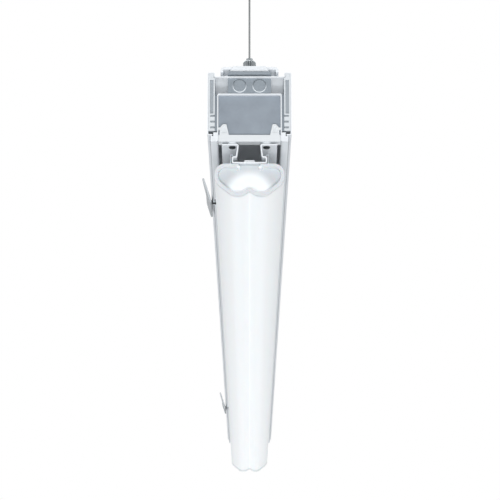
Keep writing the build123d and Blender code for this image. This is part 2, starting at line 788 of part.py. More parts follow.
# Suspension and ceiling fixing, one set for each end
box_low = web_low - box_height
fixing_radius = base_radius + base_gap + fixing_wall
nose_bore = ferrule_radius + ferrule_clear
for end, side in ends.items():
    face_y = side * trunk_length / 2
    gripper_y = side * (trunk_length / 2 - gripper_set)
    clamp_y = side * (trunk_length / 2 - clamp_set)

    # Saddle: a cast block with sloping shoulders on the trunk's web, stepped down and recessed at its front
    with BuildPart() as saddle:
        with BuildSketch(section(face_y)):
            with BuildLine():
                Polyline(
                    (-saddle_width / 2, web_top),
                    (saddle_width / 2, web_top),
                    (saddle_width / 2, web_top + saddle_shoulder),
                    (saddle_top_width / 2, saddle_top),
                    (-saddle_top_width / 2, saddle_top),
                    (-saddle_width / 2, web_top + saddle_shoulder),
                    close=True,
                )
            make_face()
        extrude(amount=side * saddle_depth)
        with BuildSketch(section(face_y)):
            block(-saddle_width / 2, saddle_width / 2, web_top, web_top + recess_height)
        extrude(amount=side * saddle_recess, mode=Mode.SUBTRACT)
        with BuildSketch(section(face_y)):
            block(-saddle_width / 2, saddle_width / 2, web_top + saddle_front, saddle_top)
        extrude(amount=side * (plate_set + plate_gap), mode=Mode.SUBTRACT)
        with BuildSketch(level(web_top, 0, clamp_y)):
            with GridLocations(2 * clamp_offset, 0, 2, 1):
                Circle(clamp_radius + clamp_clear)
        extrude(amount=saddle_height, mode=Mode.SUBTRACT)
        with BuildSketch(level(saddle_top, 0, clamp_y)):
            with GridLocations(2 * clamp_offset, 0, 2, 1):
                Circle(clamp_head + clamp_clear)
        extrude(amount=-clamp_head_height, mode=Mode.SUBTRACT)
    saddle.part.label = f"saddle_{end}"
    export_step(saddle.part, f"parts/saddle_{end}.step")

    # Clamp box under the web, with two round knock-outs raised on its end face
    with BuildPart() as clamp_box:
        box_face = section(face_y - side * box_setback)
        with BuildSketch(box_face):
            block(-saddle_width / 2, saddle_width / 2, box_low, web_low)
        extrude(amount=side * (saddle_depth - box_setback))
        fillet(clamp_box.edges().filter_by(Axis.Y), box_round)
        with BuildSketch(box_face):
            with Locations((0, (box_low + web_low) / 2)):
                with GridLocations(2 * knockout_offset, 0, 2, 1):
                    Circle(knockout_radius)
        extrude(amount=-side * knockout_proud)
        front = clamp_box.faces().filter_by(Axis.Y).sort_by(Axis.Y, reverse=side > 0)[:2]
        chamfer(front.edges(), knockout_chamfer)
        with BuildSketch(level(web_low, 0, clamp_y)):
            with GridLocations(2 * clamp_offset, 0, 2, 1):
                Circle(clamp_radius + seat_gap)
        extrude(amount=-clamp_reach, mode=Mode.SUBTRACT)
    clamp_box.part.label = f"clamp_box_{end}"
    export_step(clamp_box.part, f"parts/clamp_box_{end}.step")

    with BuildPart() as clamp_screws:
        with BuildSketch(level(saddle_top - clamp_head_height, 0, clamp_y)):
            with GridLocations(2 * clamp_offset, 0, 2, 1):
                Circle(clamp_radius)
        extrude(amount=-(saddle_height - clamp_head_height + trunk_sheet + clamp_reach))
        with BuildSketch(level(saddle_top - clamp_head_height, 0, clamp_y)):
            with GridLocations(2 * clamp_offset, 0, 2, 1):
                Circle(clamp_head)
        extrude(amount=clamp_head_height)
        with BuildSketch(level(saddle_top, 0, clamp_y)):
            with GridLocations(2 * clamp_offset, 0, 2, 1):
                RegularPolygon(clamp_head / 2, 6)
        extrude(amount=-clamp_head_height / 2, mode=Mode.SUBTRACT)
    clamp_screws.part.label = f"clamp_screws_{end}"
    export_step(clamp_screws.part, f"parts/clamp_screws_{end}.step")

    # Hanger plate across the saddle, with turned-down ends and a front edge that latches over its step
    with BuildPart() as hanger_plate:
        with BuildSketch(section(gripper_y)):
            add(folded_sheet(
                [
                    ((plate_width - plate_sheet) / 2, saddle_top + plate_sheet / 2),
                    ((plate_width - plate_sheet) / 2, saddle_top - plate_lip),
                ],
                plate_sheet, plate_sheet,
            ))
        extrude(amount=plate_depth / 2, both=True)
        with BuildSketch(section(face_y - side * plate_set)):
            with BuildLine():
                Polyline(
                    (-latch_foot / 2, saddle_top - latch_drop),
                    (latch_foot / 2, saddle_top - latch_drop),
                    (latch_head / 2, plate_top),
                    (-latch_head / 2, plate_top),
                    close=True,
                )
            make_face()
        extrude(amount=-side * latch_thick)
    hanger_plate.part.label = f"hanger_plate_{end}"
    export_step(hanger_plate.part, f"parts/hanger_plate_{end}.step")

    # Wire gripper: fluted body with a release collar that is pressed down around the wire
    with BuildPart() as gripper:
        with BuildSketch(level(plate_top, 0, gripper_y)):
            Circle(gripper_radius)
        extrude(amount=gripper_height)
        chamfer(gripper.faces().sort_by(Axis.Z)[-1].edges(), gripper_chamfer)
        with BuildSketch(level(plate_top, 0, gripper_y)):
            with PolarLocations(gripper_radius, flute_count):
                Circle(flute_radius)
        extrude(amount=gripper_height, mode=Mode.SUBTRACT)
        with BuildSketch(level(gripper_top, 0, gripper_y)):
            Circle(collar_radius + collar_clear)
        extrude(amount=-collar_guide, mode=Mode.SUBTRACT)
        with BuildSketch(level(plate_top + wire_seat, 0, gripper_y)):
            Circle(wire_radius + seat_gap)
        extrude(amount=gripper_height, mode=Mode.SUBTRACT)
    gripper.part.label = f"gripper_{end}"
    export_step(gripper.part, f"parts/gripper_{end}.step")

    with BuildPart() as collar:
        with BuildSketch(level(collar_top, 0, gripper_y)):
            Circle(collar_radius)
            Circle(collar_bore, mode=Mode.SUBTRACT)
        extrude(amount=-(collar_stand + collar_guide - collar_travel - collar_rest))
        chamfer(collar.faces().sort_by(Axis.Z)[-1].edges().sort_by(SortBy.LENGTH)[-1], collar_chamfer)
    collar.part.label = f"release_collar_{end}"
    export_step(collar.part, f"parts/release_collar_{end}.step")

    # Wire: one straight, taut run from its seat in the gripper to the ferrule in the ceiling fixing
    wire_low = plate_top + wire_seat
    ferrule_low = ceiling - fixing_height + nose_wall
    wire_length = ferrule_low + ferrule_height - wire_low
    with BuildPart() as wire:
        with BuildSketch(level(wire_low, 0, gripper_y)):
            Circle(wire_radius)
        extrude(amount=wire_length)
    wire.part.label = f"wire_{end}"
    export_step(wire.part, f"parts/wire_{end}.step")
    print(f"wire_{end}: straight, length {wire_length:.1f}, volume {wire.part.volume:.2f}")

    with BuildPart() as ferrule:
        with BuildSketch(level(ferrule_low, 0, gripper_y)):
            Circle(ferrule_radius)
            Circle(wire_radius + seat_gap, mode=Mode.SUBTRACT)
        extrude(amount=ferrule_height)
    ferrule.part.label = f"ferrule_{end}"
    export_step(ferrule.part, f"parts/ferrule_{end}.step")

    # Ceiling fixing: a base with a countersunk screw hole, and the cap that holds the ferrule
    with BuildPart() as ceiling_base:
        with BuildSketch(Plane(origin=(0, gripper_y, 0))):
            Circle(base_radius)
            Circle(fixing_hole, mode=Mode.SUBTRACT)
        extrude(amount=-base_height)
        with BuildSketch(Plane(origin=(0, gripper_y, -base_height))):
            Circle(screw_seat_radius)
        extrude(amount=screw_seat_depth, mode=Mode.SUBTRACT)
    ceiling_base.part.label = f"ceiling_base_{end}"
    export_step(ceiling_base.part, f"parts/ceiling_base_{end}.step")

    with BuildPart() as ceiling_cap:
        with BuildSketch(Plane(origin=(0, gripper_y, 0), x_dir=(1, 0, 0), z_dir=(0, -1, 0))):
            with BuildLine():
                Polyline(
                    (base_radius + base_gap, -fixing_gap),
                    (fixing_radius, -fixing_gap),
                    (fixing_radius, -base_height),
                    (fixing_nose, -fixing_height),
                    (wire_radius + wire_clear, -fixing_height),
                    (wire_radius + wire_clear, -fixing_height + nose_wall),
                    (nose_bore, -fixing_height + nose_wall),
                    (nose_bore, -base_height - fixing_gap),
                    (base_radius + base_gap, -base_height - fixing_gap),
                    close=True,
                )
            make_face()
        revolve(axis=Axis((0, gripper_y, 0), (0, 0, 1)))
    ceiling_cap.part.label = f"ceiling_cap_{end}"
    export_step(ceiling_cap.part, f"parts/ceiling_cap_{end}.step")
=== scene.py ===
from math import pi, radians

import bmesh
import bpy
import numpy as np
from bpy.props import FloatProperty, FloatVectorProperty, IntProperty, PointerProperty
from bpy.types import Operator, Panel, PropertyGroup
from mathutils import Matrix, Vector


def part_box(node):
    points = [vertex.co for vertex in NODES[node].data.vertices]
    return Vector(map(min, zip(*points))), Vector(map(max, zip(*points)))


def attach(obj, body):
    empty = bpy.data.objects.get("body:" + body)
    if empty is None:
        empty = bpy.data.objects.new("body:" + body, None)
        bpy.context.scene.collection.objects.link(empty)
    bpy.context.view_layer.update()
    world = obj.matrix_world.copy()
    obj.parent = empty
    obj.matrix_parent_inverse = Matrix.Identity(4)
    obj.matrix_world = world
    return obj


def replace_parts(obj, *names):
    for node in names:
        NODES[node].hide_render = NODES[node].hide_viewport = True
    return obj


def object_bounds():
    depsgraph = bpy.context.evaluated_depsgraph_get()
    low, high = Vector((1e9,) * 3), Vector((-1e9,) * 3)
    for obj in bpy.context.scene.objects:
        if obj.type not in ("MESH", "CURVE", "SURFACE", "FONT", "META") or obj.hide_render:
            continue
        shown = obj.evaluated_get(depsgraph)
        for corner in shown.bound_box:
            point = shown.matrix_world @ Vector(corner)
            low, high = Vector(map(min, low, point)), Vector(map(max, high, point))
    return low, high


bl_info = {
    "name": "Linear LED light",
    "version": (1, 0, 0),
    "blender": (4, 5, 0),
    "location": "View3D > Sidebar > Light",
    "description": "Dresses the packed linear LED light: lens, wires, turned parts, finishes and stage",
    "category": "Object",
}

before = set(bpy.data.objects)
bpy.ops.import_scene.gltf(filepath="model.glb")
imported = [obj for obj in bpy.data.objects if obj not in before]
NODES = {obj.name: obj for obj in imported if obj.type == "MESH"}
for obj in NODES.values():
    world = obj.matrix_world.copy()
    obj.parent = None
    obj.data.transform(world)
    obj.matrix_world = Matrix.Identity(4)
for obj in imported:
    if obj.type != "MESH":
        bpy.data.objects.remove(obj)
cad_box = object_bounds()
ENDS = ("near", "far")
MM = 0.001
SMOOTH = "SMOOTHSTEP"

# Colour sockets of a Mix node: both inputs and the output
MIX_A, MIX_B, MIX_COLOUR = 6, 7, 2

# Edges below the first angle are joined into flat faces, and edges above the second are rounded
FLAT_ANGLE, SHARP_ANGLE = radians(0.5), radians(35)

# A point this close to the outermost one lies on the same face
ON_FACE = 0.1 * MM


def linear(code):
    """Turn an sRGB hex colour into linear RGB."""
    srgb = np.array([int(code[k:k + 2], 16) for k in (1, 3, 5)]) / 255
    return tuple(np.where(srgb <= 0.04045, srgb / 12.92, ((srgb + 0.055) / 1.055) ** 2.4))


def size(name, description, millimetres):
    """A length that a user may change, kept in metres."""
    return FloatProperty(
        name=name, description=description, default=millimetres * MM, unit="LENGTH", precision=5
    )


def colour(name, description, code):
    """A colour that a user may change, from its sRGB hex value."""
    return FloatVectorProperty(
        name=name, description=description, subtype="COLOR", size=3, min=0, max=1, default=linear(code)
    )


class LightSizes(PropertyGroup):
    """Sizes of the modelled pieces."""

    lens_wall: size("Lens wall", "Wall of the opal lens", 2.7)
    lens_flank: size("Lens flank", "Upright part of the lens side, from its top", 14.6)
    lobe_half: size("Lobe corner", "Outer lower corner of a lobe, from the middle", 12.7)
    lobe_flat: size("Lobe flat", "Width of a lobe's underside", 6.7)
    notch_rise: size("Notch rise", "Height of the notch between the lobes", 3.4)
    shoulder_round: size("Shoulder round", "Radius at the top of the lens side", 8.0)
    flank_round: size("Flank round", "Radius at the foot of the lens side", 11.0)
    lobe_round: size("Lobe round", "Radius of a lobe's outer corner", 10.0)
    notch_side_round: size("Notch side round", "Radius where a lobe turns into the notch", 9.0)
    notch_round: size("Notch round", "Radius in the bottom of the notch", 1.0)
    slit_half: size("Slit", "Half of the opening above the lens", 8.2)
    arm_in: size("Arm", "Inner face of a snap arm, from the middle", 13.65)
    arm_thick: size("Arm thickness", "Thickness of a snap arm", 1.2)
    arm_rise: size("Arm rise", "Height of a snap arm over the lens", 7.6)
    barb_reach: size("Barb", "Reach of a snap arm's barb", 1.2)
    barb_low: size("Barb height", "Underside of the barb over the lens", 5.95)
    barb_thick: size("Barb thickness", "Height of the barb", 1.2)
    bead_radius: size("Bead", "Radius of the bead beside the slit", 1.3)
    strand_lay: size("Lay length", "Length of one turn of the wire's strands", 12.0)
    flutes: IntProperty(name="Flutes", description="Flutes round a gripper", default=16, min=6)
    flute_depth: size("Flute depth", "Depth of the gripper's flutes", 0.9)
    guide_radius: size("Guide", "Bore of the gripper for its release collar", 2.62)
    guide_floor: size("Guide floor", "Floor of that bore over the gripper's foot", 2.1)
    collar_bore: size("Collar bore", "Hole in the release collar for the wire", 1.1)
    nose_radius: size("Nose", "Lower end of the ceiling cap", 5.0)
    nose_bore: size("Nose bore", "Hole in the ceiling cap for the wire", 1.05)
    cap_straight: size("Cap side", "Straight side of the ceiling cap", 7.7)
    cap_wall: size("Cap wall", "Wall of the ceiling cap", 1.9)
    screw_head: size("Screw head", "Radius of a carrier screw's head", 2.7)
    screw_shaft: size("Screw shaft", "Radius of a carrier screw's shaft", 1.2)
    head_height: size("Head height", "Height of a carrier screw's head", 1.5)
    drive_width: size("Drive width", "Width of the cross recess", 0.8)
    drive_reach: size("Drive reach", "Radius of the cross recess", 1.7)
    drive_depth: size("Drive depth", "Depth of the cross recess", 0.8)
    casting_round: size("Casting round", "Edge radius of castings and mouldings", 0.35)
    sheet_round: size("Sheet round", "Edge radius of the thick pressed plates", 0.3)
    lever_round: size("Lever round", "Edge radius of the levers", 0.45)
    lever_relief: size("Lever relief", "Depth by which a lever's outer face is set back", 1.1)
    glow_centre: size("Glow centre", "Middle of the light in the lens, under its top", 12.0)
    glow_reach: size("Glow reach", "Reach of the light across the lens", 26.0)
    glow_depth: size("Glow depth", "Reach of the light downwards in the lens", 60.0)
    glow_end: size("Glow end", "Length at each end of the lens where the light fades", 8.0)
    far_dim: size("Far dimming", "Length at the far end of the lens past the last LED", 26.0)
    notch_line: size("Notch line", "Half width of the brighter line in the notch", 1.0)
    # Length of the painted shade at each end of the lens
    end_shade_depth: size("Saw depth", "Length at each end over which the lens turns greyer", 4.0)
    # Width of the grey band on the hems: bare cut edges and painted shade
    cut_edge_and_shade: size("Cut edge", "Width of the bare edges of the gear tray's hems", 0.8)
    saw_whitening: size("Saw whitening", "Length of the paler ends of the conductor profiles", 1.2)
    plug_setback: size("Plug setback", "Distance of slot plugs and gap strips from the end", 0.8)
    plug_play: size("Plug play", "Play round the slot plugs and gap strips", 0.06)
    plug_round: size("Plug round", "Edge radius of the slot plugs and gap strips", 0.3)
    slot_play: size("Slot play", "Play of a conductor in its slot, above and below", 0.15)
    slot_height: size("Slot height", "Height of a conductor slot", 1.6)
    gap_width: size("Gap width", "Gap between a conductor profile and the gear tray", 1.8)
    gap_strip: size("Gap strip", "Length of the soft strips in those gaps", 6.0)
    rim_in: size("Rim inside", "Inner radius of a knock-out's rim", 3.8)
    rim_out: size("Rim outside", "Outer radius of a knock-out's rim", 5.3)
    rim_proud: size("Rim height", "Height of a knock-out over the face of its box", 2.0)
    # Band round a rim's middle over which its painted shade turns into a painted highlight
    rim_shade_band: size("Rim wear", "Height round a rim's middle over which it turns bright", 3.0)
    knockout_offset: size("Knock-out offset", "Middle of a knock-out, from the middle of its box", 7.6)
    # Where a lever's painted shade starts, from the middle
    hook_shade_from: size("Hook", "Distance from the middle where a lever's dark hook starts", 32.4)
    plate_centre: size("Plate centre", "Middle of the light on the lens end plates, under the lens", 22.5)
    plate_glow: size("Plate glow", "Reach of the light on the lens end plates", 21.0)


class LightColours(PropertyGroup):
    """Colours of the finishes."""

    lacquer: colour("Lacquer", "White lacquer on the steel sheets", "#E4E8EC")
    # Bare cut edges and painted shade on the outer faces of the gear tray's hems
    cut_edge_and_shade: colour("Cut edge", "Bare edges of the gear tray's hems", "#9A9FA4")
    profile: colour("Profile", "Grey plastic of the conductor profiles", "#A4ABB1")
    profile_end: colour("Profile end", "Saw-cut ends of the conductor profiles", "#D2D7DB")
    plug: colour("Plug", "Plugs in the ends of the conductor slots", "#9BA2A8")
    # Painted shade: grey strips in the gaps beside the gear tray
    strip: colour("Strip", "Soft strips in the gaps beside the gear tray", "#858D95")
    moulding: colour("Moulding", "White moulded plastic", "#DADEE1")
    opal: colour("Opal", "Opal acrylic of the lens", "#E4E8EA")
    # Painted shade on the ends of the lens
    lens_end_shade: colour("Sawn opal", "Saw-cut ends of the lens", "#D2D7DB")
    # Painted shade on the lens's snap arms
    arm: colour("Snap arms", "Clear grey acrylic of the lens's snap arms", "#9BA2A8")
    # Painted shade: the end plates' opal is darker than the lens's, for their recess
    plate: colour("Lens plate", "Opal acrylic of the lens end plates", "#C8CDD1")
    casting: colour("Casting", "Grey die castings", "#8F98A0")
    panel: colour("End plate", "Galvanised end plates of the gear tray", "#8E97A1")
    zinc: colour("Zinc", "Galvanised sheet steel", "#C2C8CC")
    nickel: colour("Nickel", "Nickel plate on turned brass", "#A9ABAA")
    gripper: colour("Gripper", "Dark nickel of the wire grippers", "#8F9497")
    wire: colour("Wire", "Drawn steel wire", "#8E9192")
    lever: colour("Lever", "Moulded levers", "#BDC1C4")
    # Painted shade on the barrels and hooks of the levers
    hook: colour("Hook", "Barrels and hooks of the levers", "#25282A")
    # Painted highlight on the lower halves of the knock-out rims
    rim: colour("Rim", "Worn rims of the knock-outs", "#E6EBEF")
    # Painted shade on the upper halves of the knock-out rims
    rim_painted_shade: colour("Rim grime", "Upper halves of the rims, where dust stays", "#353C43")
    oxide: colour("Black oxide", "Blackened steel screws", "#2E3235")
    plating: colour("Plating", "Zinc plate on steel screws and pins", "#B9BDC0")
    copper: colour("Copper", "Conductors", "#B87A55")
    brass: colour("Brass", "Contacts of the tap-off", "#C9A35A")
    casing: colour("Casing", "Casing of the driver", "#D9DCDE")
    mask: colour("Solder mask", "Faces of the LED boards", "#EDEDE8")
    phosphor: colour("Phosphor", "Resin of the LEDs", "#F0D27A")
    jacket: colour("Jacket", "Jackets of the leads", "#4A4D50")


def put(tree, kind, settings=(), links=()):
    """Add one node: settings go to its properties or sockets, links join its sockets to other outputs."""
    node = tree.nodes.new(kind)
    for key, value in dict(settings).items():
        if isinstance(key, str) and hasattr(node, key):
            setattr(node, key, value)
        else:
            node.inputs[key].default_value = value
    for key, output in dict(links).items():
        tree.links.new(output, node.inputs[key])
    return node


def ramp(tree, value, span, levels, kind="LINEAR"):
    """Output that goes from the first level to the second one while a value goes through a span."""
    settings = {"interpolation_type": kind}
    settings.update(zip(("From Min", "From Max", "To Min", "To Max"), (*span, *levels)))
    return put(tree, "ShaderNodeMapRange", settings, {"Value": value}).outputs[0]


def combine(tree, operation, first, second):
    """Output of a calculation with two values."""
    return put(tree, "ShaderNodeMath", {"operation": operation}, {0: first, 1: second}).outputs[0]


def blend(tree, share, settings, links=()):
    """Colour between the inputs MIX_A and MIX_B, which are set or linked."""
    mix = put(tree, "ShaderNodeMix", {"data_type": "RGBA", **settings}, {0: share, **dict(links)})
    return mix.outputs[MIX_COLOUR]


def surface(name, base, grain, shade, rough, bump=0.0, stretch=(1, 1, 1), **sockets):
    """Material with a noise grain, which shades its colour, spreads its roughness and raises its skin.

    The grain is a noise on Object coordinates with a period of grain, drawn out along an axis by stretch.
    Grain and bump are in millimetres.
    """
    material = bpy.data.materials.new(name)
    material.use_nodes = True
    tree = material.node_tree
    shader = tree.nodes["Principled BSDF"]
    for key, value in sockets.items():
        shader.inputs[key].default_value = value
    place = put(tree, "ShaderNodeTexCoord").outputs["Object"]
    scale = tuple(1 / (grain * MM * s) for s in stretch)
    place = put(tree, "ShaderNodeMapping", {"Scale": scale}, {"Vector": place}).outputs[0]
    octaves = {"Scale": 1.0, "Detail": 3.0, "Roughness": 0.55}
    noise = put(tree, "ShaderNodeTexNoise", octaves, {"Vector": place}).outputs[0]
    dark = tuple(c * (1 - shade) for c in base)
    light = tuple(min(1, c * (1 + shade / 2)) for c in base)
    tint = blend(tree, noise, {MIX_A: (*dark, 1), MIX_B: (*light, 1)})
    tree.links.new(tint, shader.inputs["Base Color"])
    tree.links.new(ramp(tree, noise, (0, 1), rough), shader.inputs["Roughness"])
    if bump:
        height = {"Strength": 1.0, "Distance": bump * MM}
        skin = put(tree, "ShaderNodeBump", height, {"Height": noise}).outputs[0]
        tree.links.new(skin, shader.inputs["Normal"])
    return material


def past(material, axis, first, last, base):
    """Blend a material's colour into base between two distances from the middle along an axis."""
    tree = material.node_tree
    socket = tree.nodes["Principled BSDF"].inputs["Base Color"]
    place = put(tree, "ShaderNodeTexCoord").outputs["Object"]
    away = put(tree, "ShaderNodeVectorMath", {"operation": "ABSOLUTE"}, {0: place}).outputs[0]
    away = put(tree, "ShaderNodeSeparateXYZ", {}, {0: away}).outputs[axis]
    share = ramp(tree, away, (first, last), (0, 1))
    before = socket.links[0].from_socket
    tree.links.new(blend(tree, share, {MIX_B: (*base, 1)}, {MIX_A: before}), socket)


def finish(names, material):
    """Give carried-over CAD nodes a finish."""
    for name in names:
        NODES[name].data.materials.clear()
        NODES[name].data.materials.append(material)


def pairs(*stems):
    """Names of nodes that come once for each end of the light."""
    return [f"{stem}_{end}" for stem in stems for end in ENDS]


def grid_quads(rings, around, closed):
    """Quads between neighbouring rings of points; a closed grid joins its last ring to its first."""
    index = np.arange(rings * around).reshape(rings, around)
    if closed:
        index = np.vstack([index, index[:1]])
    after = np.roll(index, -1, axis=1)
    return np.stack([index[:-1], after[:-1], after[1:], index[1:]], axis=-1).reshape(-1, 4)


def piece_from(name, mesh, material, body):
    """Object for a mesh, riding on its body, with its finish."""
    mesh.materials.append(material)
    piece = bpy.data.objects.new(name, mesh)
    bpy.context.scene.collection.objects.link(piece)
    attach(piece, body)
    return piece


def solid(name, rings, material, body="light", crease=32, closed=False):
    """Closed mesh from rings of points (shell, ring, point, xyz), each shell capped or closed on itself."""
    rings = np.asarray(rings)
    shells, count, around = rings.shape[:-1] if rings.ndim == 4 else (1, *rings.shape[:-1])
    faces = []
    for start in np.arange(shells) * count * around:
        faces += (grid_quads(count, around, closed) + start).tolist()
        if not closed:
            faces.append((start + np.arange(around)[::-1]).tolist())
            faces.append((start + (count - 1) * around + np.arange(around)).tolist())
    mesh = bpy.data.meshes.new(name)
    mesh.from_pydata(rings.reshape(-1, 3), [], faces)
    mesh.shade_smooth()
    mesh.set_sharp_from_angle(angle=radians(crease))
    mesh.update()
    return piece_from(name, mesh, material, body)


def softened(name, node, edge, material, slot, body="light"):
    """Copy of a CAD node with its points merged, flat faces joined and sharp edges rounded to a radius."""
    source = NODES[node].data
    points = np.empty(3 * len(source.vertices))
    source.vertices.foreach_get("co", points)
    corners = np.empty(len(source.loops), int)
    source.loops.foreach_get("vertex_index", corners)
    merged, place = np.unique(points.reshape(-1, 3).round(7), axis=0, return_inverse=True)
    faces = place.reshape(-1)[corners].reshape(-1, 3)
    whole = (faces != np.roll(faces, 1, axis=1)).all(axis=1)
    mesh = bpy.data.meshes.new(name)
    mesh.from_pydata(merged, [], faces[whole].tolist())
    work = bmesh.new()
    work.from_mesh(mesh)
    bmesh.ops.dissolve_limit(work, angle_limit=FLAT_ANGLE, verts=work.verts, edges=work.edges)
    work.to_mesh(mesh)
    work.free()
    mesh.shade_smooth()
    piece = piece_from(name, mesh, material, body)
    bevel = piece.modifiers.new("edge_round", "BEVEL")
    bevel.width = edge
    bevel.segments = 2
    bevel.limit_method = "ANGLE"
    bevel.angle_limit = SHARP_ANGLE
    bevel.harden_normals = True
    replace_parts(piece, node)
    return piece


def unit(vectors):
    """Vectors scaled to length one."""
    return vectors / np.linalg.norm(vectors, axis=-1, keepdims=True)


def rounded(corners, radii, steps=10):
    """Open line through corners with each inner corner rounded, and the normals to its left.

    Each arc runs between the tangent points of both sides, about a centre on their bisector.
    """
    corners = np.array(corners, float)
    radii = np.array(radii, float)[:, None]
    back, ahead = unit(corners[:-2] - corners[1:-1]), unit(corners[2:] - corners[1:-1])
    half = np.arccos(np.clip((back * ahead).sum(-1), -1, 1))[:, None] / 2
    centre = corners[1:-1] + unit(back + ahead) * radii / np.sin(half)
    first, last = (corners[1:-1] + side * radii / np.tan(half) - centre for side in (back, ahead))
    sweep = (pi - 2 * half)[:, None]
    t = np.linspace(0, 1, steps)[None, :, None]
    spokes = (np.sin((1 - t) * sweep) * first[:, None] + np.sin(t * sweep) * last[:, None]) / np.sin(sweep)
    turn = np.sign(back[:, 0] * ahead[:, 1] - back[:, 1] * ahead[:, 0])[:, None, None]
    arcs = (centre[:, None] + spokes).reshape(-1, 2)
    normals = (turn * unit(spokes)).reshape(-1, 2)
    return arcs, normals


def lens_section(s, low, high):
    """Closed section of the lens: snap arms, the lobed outside, beads beside the slit and the inside.

    The inside is the outside, moved in along its normals by the wall.
    """
    top = high.z - s.arm_rise
    half = np.array([
        (high.x, top), (high.x, top - s.lens_flank),
        (s.lobe_half, low.z), (s.lobe_half - s.lobe_flat, low.z),
    ])
    mirror = np.array([-1, 1])
    notch = (0, low.z + s.notch_rise)
    corners = np.vstack([(s.arm_in, top), half, notch, half[::-1] * mirror, (-s.arm_in, top)])
    radii = [s.shoulder_round, s.flank_round, s.lobe_round, s.notch_side_round]
    outside, normals = rounded(corners, [*radii, s.notch_round, *radii[::-1]])
    inside = outside - normals * s.lens_wall
    arm_out = s.arm_in + s.arm_thick
    barb_top = s.barb_low + s.barb_thick
    arm = np.array([
        (s.slit_half, 0), (s.arm_in, 0), (s.arm_in, s.barb_low), (s.arm_in - s.barb_reach, s.barb_low),
        (s.arm_in - s.barb_reach, barb_top), (s.arm_in, barb_top), (s.arm_in, s.arm_rise),
        (arm_out, s.arm_rise), (arm_out, 0),
    ]) + (0, top)
    three_quarters = 1.5 * pi
    angle = np.linspace(0, three_quarters, 14)
    bead = np.stack([np.cos(angle), -np.sin(angle)], -1) * s.bead_radius + (s.slit_half, top - s.lens_wall)
    return np.vstack([arm, outside, arm[::-1] * mirror, bead[::-1] * mirror, inside[::-1], bead])


def along(section, y_values):
    """Rings of a section in X and Z, repeated at each Y."""
    rings = np.empty((len(y_values), len(section), 3))
    rings[..., 0::2] = section
    rings[..., 1] = np.asarray(y_values)[:, None]
    return rings


def bars(lows, highs, edge, around=24):
    """Rings of bars along Y between corners, one shell each: rounded rectangles that draw in at both ends.

    A ring's corner points lie on quarter circles. It shrinks by edge (1 - cos t) where it lies
    edge (1 - sin t) inside the end, with t from 75 degrees at the end to 0.
    """
    lows, highs = (np.array(corners, float)[:, None, None, :] for corners in (lows, highs))
    turn = np.radians([75, 50, 25, 0])
    t = np.concatenate([turn, turn[::-1]])[None, :, None]
    angle = -(np.arange(around) + 0.5) * 2 * pi / around
    way = np.stack([np.cos(angle), np.zeros(around), np.sin(angle)], -1)[None, None]
    corner = np.sign(way) * ((highs - lows) / 2 - edge)
    rings = (lows + highs) / 2 + corner + way * edge * np.cos(t)[..., None]
    run = edge * (1 - np.sin(t))
    at_first_end = np.arange(t.size)[None, :, None] < turn.size
    rings[..., 1] = np.where(at_first_end, lows[..., 1] + run, highs[..., 1] - run)
    return rings


def turned(profile, centre, around=60, flutes=0, depth=0.0):
    """Rings of a turned shape, from a profile of radius, height and flute share.

    At an angle a the radius is r - share depth (1 - cos(flutes a)) / 2.
    """
    profile = np.array(profile, float)
    angle = np.linspace(0, 2 * pi, around, endpoint=False)
    dip = depth * (0.5 - 0.5 * np.cos(flutes * angle))
    radius = profile[:, :1] - profile[:, 2:3] * dip
    rings = np.stack([radius * np.cos(angle), radius * np.sin(angle), np.tile(profile[:, 1:2], around)], -1)
    return rings + np.array(centre)


def smooth_step(x, first, last):
    """Rise from 0 at first to 1 at last along the cubic 3t^2 - 2t^3."""
    t = np.clip((x - first) / (last - first), 0, 1)
    return t * t * (3 - 2 * t)


def screw(s, reach):
    """Rings of an upright pan-head screw: a domed head below, with a cross sunk where x or y is small."""
    # Shares of the head's radius, closer together where the cross ends
    dome = np.array([0.05, 0.15, 0.25, 0.34, 0.42, 0.5, 0.57, 0.62, 0.66, 0.75, 0.85, 0.94, 1.0])
    crown = 0.55 * s.head_height
    head = np.stack([s.screw_head * dome, crown * dome ** 4], -1)
    stem = np.array([
        (s.screw_head, s.head_height),
        (s.screw_shaft, s.head_height),
        (s.screw_shaft, s.head_height + reach),
    ])
    profile = np.vstack([head, stem])
    rings = turned(np.hstack([profile, np.zeros((len(profile), 1))]), (0, 0, 0), around=72)
    x, y = np.abs(rings[..., 0]), np.abs(rings[..., 1])
    arm = 1 - smooth_step(np.minimum(x, y), 0.4 * s.drive_width, 0.6 * s.drive_width)
    end = 1 - smooth_step(np.hypot(x, y), 0.9 * s.drive_reach, 1.05 * s.drive_reach)
    rings[:len(head), :, 2] += (s.drive_depth * arm * end)[:len(head)]
    return rings


